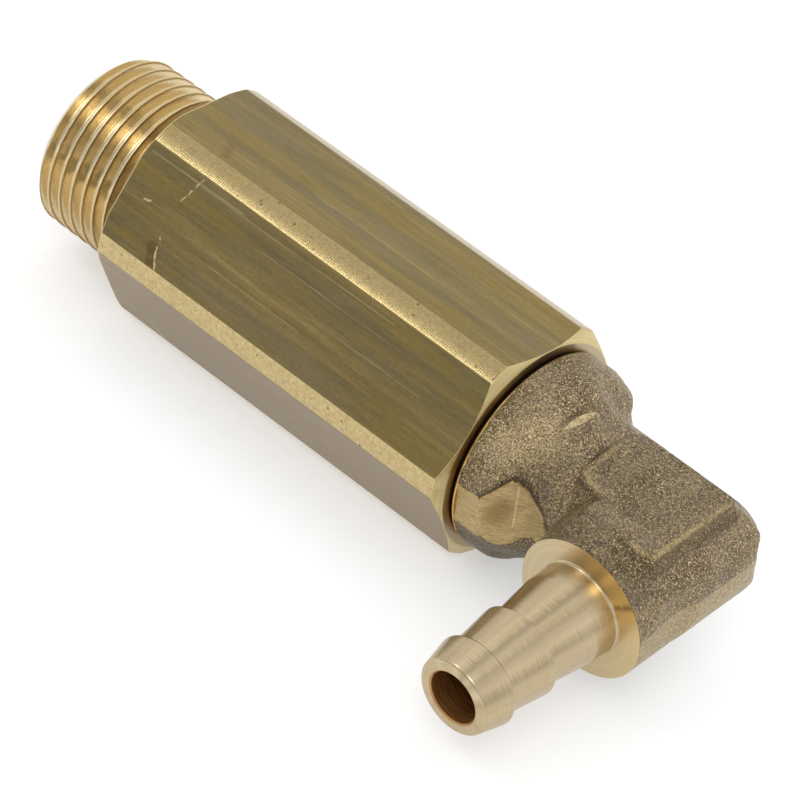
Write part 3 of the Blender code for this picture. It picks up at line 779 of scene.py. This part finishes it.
def valve_body():
    offsets = np.array(sector_angles)
    angles = np.concatenate([60.0 * sector + 30.0 + offsets for sector in range(6)])
    around = np.tile(offsets, 6)
    flat = half_across / np.cos(np.radians(around))
    outer = smooth_min(flat, np.full_like(around, corner_radius), corner_soft)
    land = np.abs(around) > flat_angle
    count = len(angles)
    turn = np.radians(angles)
    vertices, faces, indices = [], [], []

    def add_rows(xs, radii):
        start = sum(len(block) for block in vertices)
        points = np.stack([xs, radii * np.cos(turn), radii * np.sin(turn) + valve_axis], -1)
        vertices.append(points.reshape(-1, 3))
        return start

    inside = [(inlet_end, thread_radius(np.full(count, inlet_end), angles), face_skin)]
    inside += [(x, radius, bore_skin) for x, radius in bore_profile]
    inside[1] = (*inside[1][:2], face_skin)
    for rows in (bar_rows(outer), inside):
        xs = np.array([np.broadcast_to(row[0], count) for row in rows], float)
        radii = np.array([np.broadcast_to(row[1], count) for row in rows], float)
        start = add_rows(xs, radii)
        for k in range(len(rows) - 1):
            faces += ring_faces(start + k * count, start + (k + 1) * count, count)
            skin = rows[k + 1][2]
            for j in range(count):
                corner = skin == flat_skin and land[j] and land[(j + 1) % count]
                indices.append(land_skin if corner else skin)
    low, high = inlet_end, -hex_half - relief_length
    step = thread_pitch / rows_per_pitch
    total = int(math.ceil((high - low) / step)) + 2 * rows_per_pitch + 1
    xs = low - thread_pitch + step * np.arange(total)[:, None]
    xs = np.clip(xs + thread_pitch * angles[None, :] / 360.0, low, high)
    start = add_rows(xs, thread_radius(xs, np.broadcast_to(angles, xs.shape)))
    for k in range(total - 1):
        for j in range(count):
            k_next = k + rows_per_pitch * (j == count - 1)
            if k_next + 1 >= total:
                continue
            a, b = start + k * count + j, start + k_next * count + (j + 1) % count
            faces.append((a, b, b + count, a + count))
            indices.append(thread_skin)
    return np.concatenate(vertices) * mm, faces, indices


def elbow_matrix():
    along_u = Vector((1.0, 0.0, 0.0))
    along_v = Vector((0.0, math.cos(outlet_droop), math.sin(outlet_droop)))
    turn = Matrix((along_u, along_v, along_u.cross(along_v))).transposed().to_4x4()
    return Matrix.Translation(Vector((outlet_place, 0.0, valve_axis)) * mm) @ turn


def barb_matrix():
    along = Vector((0.0, -math.cos(outlet_droop), -math.sin(outlet_droop)))
    up = Vector((0.0, -math.sin(outlet_droop), math.cos(outlet_droop)))
    turn = Matrix((along, up.cross(along), up)).transposed().to_4x4()
    return Matrix.Translation(Vector((outlet_place, 0.0, valve_axis)) * mm) @ turn


# Distances from surfaces, below 0 inside them. The last value of a blend is its width (mm).

def round_max(a, b, radius):
    """Two faces that meet in an edge rounded by a radius."""
    outside = np.hypot(np.maximum(a + radius, 0.0), np.maximum(b + radius, 0.0))
    return outside + np.minimum(np.maximum(a + radius, b + radius), 0.0) - radius


def ease(value, low, high):
    share = np.clip((value - low) / (high - low), 0.0, 1.0)
    return share * share * (3.0 - 2.0 * share)


def past_plane(terms, u, v, w):
    a, b, c, d = terms
    return a * u + b * v + c * w + d


def rectangle(u, v, rear, front, near, far, radius):
    across = np.maximum(rear - u, u - front)
    along = np.maximum(near - v, v - far)
    return round_max(across, along, radius)


def capsule(p, start, end, radius):
    start, end = np.array(start), np.array(end)
    way = end - start
    share = np.clip(((p - start) @ way) / (way @ way), 0.0, 1.0)
    return np.linalg.norm(p - start - share[..., None] * way, axis=-1) - radius


def outline(u, v):
    """The casting's outline in plan, along the line where the two halves of its mould meet."""
    run = round_max(np.abs(v) - run_radius, u - run_front, run_round)
    near = shoulder_place - 5.0
    leg = rectangle(u, v, -leg_radius, leg_radius, near, leg_back, leg_back_round)
    return smooth_min(run, leg, 0.5)


def leg_distance(u, w, half, squareness):
    """An arch that is round below and squarer above."""
    power = 2.0 + squareness * ease(w, -0.5, 1.5)
    return (np.abs(u / half) ** power + np.abs(w / half) ** power) ** (1.0 / power) * half - half


def collar_distance(u, v, w, around_run, rear):
    """The collar: a cone below, and a plumper rounded front on the barb's upper side."""
    cone = (u - cone_start) * cone_along + (around_run - collar_radius) * cone_out
    collar = np.maximum(smooth_max(around_run - collar_radius, cone, 0.5), rear)
    collar = smooth_max(collar, u - collar_front, 0.8)
    front = collar_front + (plump_front - collar_front) * ease(w, 0.5, 3.5)
    plump = np.maximum(round_max(around_run - collar_radius, u - front, collar_round), rear)
    return collar + (plump - collar) * ease(w, -5.0, -2.0) * ease(-v, -5.0, -2.0)


def casting(p):
    """The rough casting."""
    u, v, w = p[..., 0], p[..., 1], p[..., 2]
    around_run = np.hypot(v, w)
    rear = collar_rear - over_cut - u
    collar = collar_distance(u, v, w, around_run, rear)
    leg = leg_distance(u - 0.2, w, leg_radius, leg_square * ease(v, -10.0, -7.0))
    mitre = leg_distance(u, w, leg_radius + 0.05, leg_square + 0.3)
    run = np.maximum(round_max(around_run - run_radius, u - run_front, run_round), rear)
    run = smooth_max(run, smooth_min(u, mitre, 0.8), 0.6)
    back = round_max(around_run - run_radius, v - leg_back, leg_back_round)
    tube = smooth_max(leg, smooth_min(v, back, 0.8), 0.6)
    tube = np.maximum(tube, shoulder_place - over_cut - v)
    body = smooth_min(run, tube, 0.6)
    wall = outline(u, v) + np.where(u < 0, 0.05, 0.22 - 0.44 * ease(-v, 6.0, 10.0))
    body = smooth_max(body, np.where(u > -7.5, wall, -1.0), 0.15)
    body = smooth_min(body, collar, 0.8 + (fillet - 0.8) * ease(-v, -2.5, 1.0))
    wide = rectangle(u, v, pad_rear, pad_front, pad_near, pad_far, 1.4)
    wide = np.maximum(wide, (u + v) * 0.7071 - corner_cut)
    tongue = rectangle(u, v, tongue_rear, pad_front, tongue_near, pad_far, 0.4)
    pad = np.minimum(wide, tongue) + under_inset * (w < 0)
    pad = round_max(pad, np.abs(w) - pad_top, 0.3)
    soft = 0.35 + 1.6 * ease(-u - v * 0.3, -2.5, 1.5) * ease(-v, 3.5, 6.0)
    body = smooth_min(body, pad, soft)
    hump = np.minimum(
        capsule(p, (-12.0, 1.5, 7.75), (-11.6, 4.8, 6.0), 1.1),
        capsule(p, (-11.6, 4.8, 6.0), (-11.3, 6.2, 4.4), 1.1),
    )
    body = smooth_min(body, hump, 1.1)
    outside = [past_plane(terms, u, v, w) for terms in wheel_limits]
    wheel = past_plane(wheel_plane, u, v, w)
    wheel = wheel - 1.2 * np.maximum.reduce([*outside, 0.0 * u])
    wheel = np.maximum(wheel, past_plane(near_plane, u, v, w))
    body = smooth_max(body, np.where(u < -6.5, wheel, -1.0), 0.08)
    return smooth_max(body, -capsule(p, nick_start, nick_end, nick_radius), 0.06)


def surface_net(distance, low, high, size):
    """Quads on the surface where distance is 0: one vertex in each cell that it crosses."""
    axes = [np.arange(a, b + size, size) for a, b in zip(low, high)]
    grid = np.stack(np.meshgrid(*axes, indexing="ij"), -1)
    field = distance(grid)
    shape = np.array(field.shape)
    total = np.zeros((*(shape - 1), 3))
    hits = np.zeros(shape - 1)
    edges = []
    for axis in range(3):
        first = [slice(None)] * 3
        second = [slice(None)] * 3
        first[axis], second[axis] = slice(0, -1), slice(1, None)
        a, b = field[tuple(first)], field[tuple(second)]
        crossed = np.argwhere((a < 0) != (b < 0))
        index = tuple(crossed.T)
        share = a[index] / (a[index] - b[index])
        point = grid[tuple(first)][index].copy()
        point[:, axis] += share * size
        other = [i for i in range(3) if i != axis]
        inner = np.ones(len(crossed), bool)
        for i in other:
            inner &= (crossed[:, i] > 0) & (crossed[:, i] < shape[i] - 1)
        crossed, point, inside = crossed[inner], point[inner], (a < 0)[index][inner]
        around = []
        for da, db in ((0, 0), (1, 0), (1, 1), (0, 1)):
            spot = crossed.copy()
            spot[:, other[0]] -= da
            spot[:, other[1]] -= db
            around.append(spot)
            np.add.at(total, tuple(spot.T), point)
            np.add.at(hits, tuple(spot.T), 1)
        edges.append((np.stack(around, 1), inside if axis != 1 else ~inside))
    used = tuple(np.argwhere(hits > 0).T)
    number = -np.ones(shape - 1, int)
    number[used] = np.arange(len(used[0]))
    quads = []
    for around, flip in edges:
        quad = number[around[..., 0], around[..., 1], around[..., 2]]
        quad[flip] = quad[flip][:, ::-1]
        quads.append(quad)
    return total[used] / hits[used][:, None], np.concatenate(quads)


def settle(points, distance, steps=3, reach=0.02):
    """Moves points onto the surface, and gives the surface's directions there."""
    for _ in range(steps):
        ways = reach * np.eye(3)
        slope = np.stack([distance(points + way) - distance(points - way) for way in ways], 1)
        slope /= np.maximum(np.linalg.norm(slope, axis=1), 1e-9)[:, None]
        points = points - np.clip(distance(points), -0.2, 0.2)[:, None] * slope
    return points, slope


def casting_mesh():
    """The casting with its uneven skin, cut square at the shoulder and at the collar's rear."""
    low = (collar_rear - over_cut - cell, shoulder_place - over_cut - cell, -collar_radius - 0.5)
    high = (run_front + 0.5, collar_radius + 0.5, collar_radius + 0.5)
    points, quads = surface_net(casting, low, high, cell)
    points, slope = settle(points, casting)
    spots = [Vector(point) for point in points]
    lift = [0.05 * noise.noise(p * 0.9) + 0.03 * noise.noise(p * 2.3) for p in spots]
    from_nick = np.abs(points[:, 1] - nick_middle) + 4.0 * np.abs(points[:, 0] + 9.6)
    ground = np.maximum(points @ wheel_plane[:3] + wheel_plane[3], near_plane[3] - points[:, 1])
    calm = ease(-ground, 0.05, 0.4) * ease(from_nick, 2.2, 3.0)
    points = points + slope * (np.array(lift) * calm)[:, None]
    mesh = make_mesh("elbow_casting", points * mm, quads)
    bm = bmesh.new()
    bm.from_mesh(mesh)
    shoulder_cut = (0.0, shoulder_place, 0.0), (0.0, -1.0, 0.0)
    collar_cut = (collar_rear + 0.3, 0.0, 0.0), (-1.0, 0.0, 0.0)
    for place, direction in (shoulder_cut, collar_cut):
        parts = bm.verts[:] + bm.edges[:] + bm.faces[:]
        cut = bmesh.ops.bisect_plane(
            bm, geom=parts, plane_co=Vector(place) * mm, plane_no=direction, clear_outer=True
        )
        rim = [item for item in cut["geom_cut"] if isinstance(item, bmesh.types.BMEdge)]
        made = bmesh.ops.triangle_fill(bm, edges=rim, use_beauty=True, normal=direction)
        for face in made["geom"]:
            if isinstance(face, bmesh.types.BMFace):
                face.material_index = 1
    bmesh.ops.recalc_face_normals(bm, faces=bm.faces)
    bm.to_mesh(mesh)
    bm.free()
    return mesh


def turned_mesh(name, profile, steps=128):
    """A closed ring turned about local X from (place, radius) points, in mm."""
    turn = np.radians(np.arange(steps) * 360.0 / steps)
    places = np.array([item[0] for item in profile])[:, None] * np.ones(steps)
    radii = np.array([item[1] for item in profile])[:, None]
    points = np.stack([places, radii * np.cos(turn), radii * np.sin(turn)], -1).reshape(-1, 3)
    faces = []
    for k in range(len(profile)):
        faces += ring_faces(k * steps, (k + 1) % len(profile) * steps, steps)
    return make_mesh(name, points * mm, faces)


def rounded(profile, points=5):
    """A profile with every corner that carries a third value rounded by it."""
    made = []
    for i, item in enumerate(profile):
        if len(item) < 3:
            made.append(item)
            continue
        corner, size = np.array(item[:2], float), item[2]
        before = np.array(profile[i - 1][:2], float) - corner
        after = np.array(profile[(i + 1) % len(profile)][:2], float) - corner
        before /= np.linalg.norm(before)
        after /= np.linalg.norm(after)
        half = math.acos(max(-1.0, min(1.0, float(before @ after)))) / 2
        middle = (before + after) / np.linalg.norm(before + after)
        centre = corner + middle * size / math.sin(half)
        start = corner + before * size / math.tan(half) - centre
        end = corner + after * size / math.tan(half) - centre
        first = math.atan2(start[1], start[0])
        sweep = (math.atan2(end[1], end[0]) - first + math.pi) % (2 * math.pi) - math.pi
        for k in range(points + 1):
            angle = first + sweep * k / points
            made.append((centre[0] + size * math.cos(angle), centre[1] + size * math.sin(angle)))
    return made


# Stage and light

def add_stage():
    bpy.ops.mesh.primitive_plane_add(size=floor_size, location=(0.0, 0.0, -floor_drop))
    floor = bpy.context.object
    floor.name = "floor"
    made = bpy.data.materials.new("floor_paper")
    made.use_nodes = True
    tree = made.node_tree
    shader = tree.nodes["Principled BSDF"]
    shader.inputs["Base Color"].default_value = (floor_tone, floor_tone, floor_tone, 1.0)
    shader.inputs["Roughness"].default_value = 0.9
    shader.inputs["Specular IOR Level"].default_value = 0.1
    shader.inputs["Emission Color"].default_value = (1.0, 1.0, 1.0, 1.0)
    path = add_node(tree, "ShaderNodeLightPath", {}).outputs
    rays = {0: path["Is Camera Ray"], 1: path["Is Glossy Ray"]}
    seen = add_node(tree, "ShaderNodeMath", rays, operation="MAXIMUM").outputs[0]
    glow = add_node(tree, "ShaderNodeMath", {0: seen, 1: floor_glow}, operation="MULTIPLY")
    tree.links.new(glow.outputs[0], shader.inputs["Emission Strength"])
    floor.data.materials.append(made)


def add_world():
    world = bpy.data.worlds.new("studio")
    bpy.context.scene.world = world
    world.use_nodes = True
    tree = world.node_tree
    tree.nodes.clear()
    place = add_node(tree, "ShaderNodeTexCoord", {}).outputs["Generated"]
    far = add_node(tree, "ShaderNodeVectorMath", {0: place, 1: world_way}, operation="DOT_PRODUCT")
    strength = {"Value": far.outputs["Value"]}
    strength.update({"From Min": world_reach[0], "From Max": world_reach[1]})
    strength.update({"To Min": world_light[0], "To Max": world_light[1]})
    strength = add_node(tree, "ShaderNodeMapRange", strength).outputs[0]
    light = add_node(tree, "ShaderNodeBackground", {"Strength": strength}).outputs[0]
    white = add_node(tree, "ShaderNodeBackground", {"Strength": 1.0}).outputs[0]
    seen = add_node(tree, "ShaderNodeLightPath", {}).outputs["Is Camera Ray"]
    mixed = add_node(tree, "ShaderNodeMixShader", {0: seen, 1: light, 2: white}).outputs[0]
    add_node(tree, "ShaderNodeOutputWorld", {"Surface": mixed})


def add_lamp(name, direction, distance, size, brightness):
    """A lamp (sizes in metres) that looks back at the valve. A brightness of 1 is white."""
    data = bpy.data.lights.new(name, "AREA")
    data.shape = "RECTANGLE"
    data.size, data.size_y = size
    data.energy = brightness * math.pi * size[0] * size[1]
    lamp = bpy.data.objects.new(name, data)
    bpy.context.scene.collection.objects.link(lamp)
    way = Vector(direction).normalized()
    lamp.location = Vector((0.005, 0.0, 0.01)) + way * distance
    lamp.rotation_euler = way.to_track_quat("Z", "Y").to_euler()


add_camera()
add_stage()
add_world()
add_lamp("highlight_lamp", (-0.455, -0.40, 0.795), 0.9, (0.2, 0.16), 5.6)
add_lamp("front_lamp", (0.33, -0.53, 0.78), 1.1, (0.4, 0.4), 3.6)

drawn = drawn_finish()
turned = land_finish()
end_face = turned_finish(
    "turned_face", (188, 168, 114), (214, 196, 148), 0.33, inner=(9.93, (176, 160, 128))
)
thread = thread_finish()
bore = turned_finish("bored_brass", (120, 90, 48), (160, 128, 76), 0.35)
cast = cast_finish()
barb = barb_finish()
shoulder = shoulder_finish()
# Painted shade: the machined rim is darkened around its top
machined = turned_finish(
    "machined_rim", (176, 134, 66), (214, 174, 104), 0.3, centre=0.0, tones=rim_painted_shade
)
fine_brass = turned_finish("inner_brass", (178, 146, 84), (212, 182, 118), 0.28)
steel = turned_finish("turned_steel", (150, 150, 152), (196, 196, 198), 0.28)
wire = plain_finish("spring_wire", (172, 172, 176), (132, 132, 138), 0.3, 1.0)
seal = plain_finish("seal_rubber", (128, 44, 34), (104, 34, 28), 0.75, 0.0)
ring = plain_finish("ring_rubber", (34, 34, 34), (24, 24, 24), 0.6, 0.0)

vertices, faces, indices = valve_body()
body_mesh = make_mesh("valve_body_fine", vertices, faces, indices, merge=1e-6)
body_skins = [drawn, turned, end_face, thread, bore]
body_piece = add_piece(
    "valve_body_fine", body_mesh, body_skins, "body", ("valve_body",)
)
weigh = body_piece.modifiers.new("even_shading", "WEIGHTED_NORMAL")
weigh.keep_sharp = True
add_piece(
    "elbow_casting", casting_mesh(), [cast, shoulder], "elbow",
    ("outlet_elbow",), elbow_matrix(), sharp=50.0,
)
barb_mesh = turned_mesh("elbow_barb", rounded(barb_profile))
add_piece("elbow_barb", barb_mesh, [barb], "elbow", matrix=barb_matrix())
spigot_mesh = turned_mesh("elbow_spigot", spigot_profile)
spigot_matrix = Matrix.Translation((0.0, 0.0, valve_axis * mm))
add_piece("elbow_spigot", spigot_mesh, [machined], "elbow", matrix=spigot_matrix)

coil = add_piece(
    "valve_spring_coil", spring_mesh(), [wire], "spring_cup", ("valve_spring",)
)
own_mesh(coil)

dressed = {
    "seal_disc": seal, "seal_washer": steel, "seal_screw": steel, "disc_holder": fine_brass,
    "guide_stem": steel, "lower_spring_cup": fine_brass, "upper_spring_cup": fine_brass,
    "adjusting_screw": fine_brass, "lock_ring": fine_brass, "elbow_o_ring": ring,
}
for name, finish in dressed.items():
    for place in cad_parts[name].material_slots:
        place.material = finish

bpy.context.scene.view_settings.view_transform = "Standard"
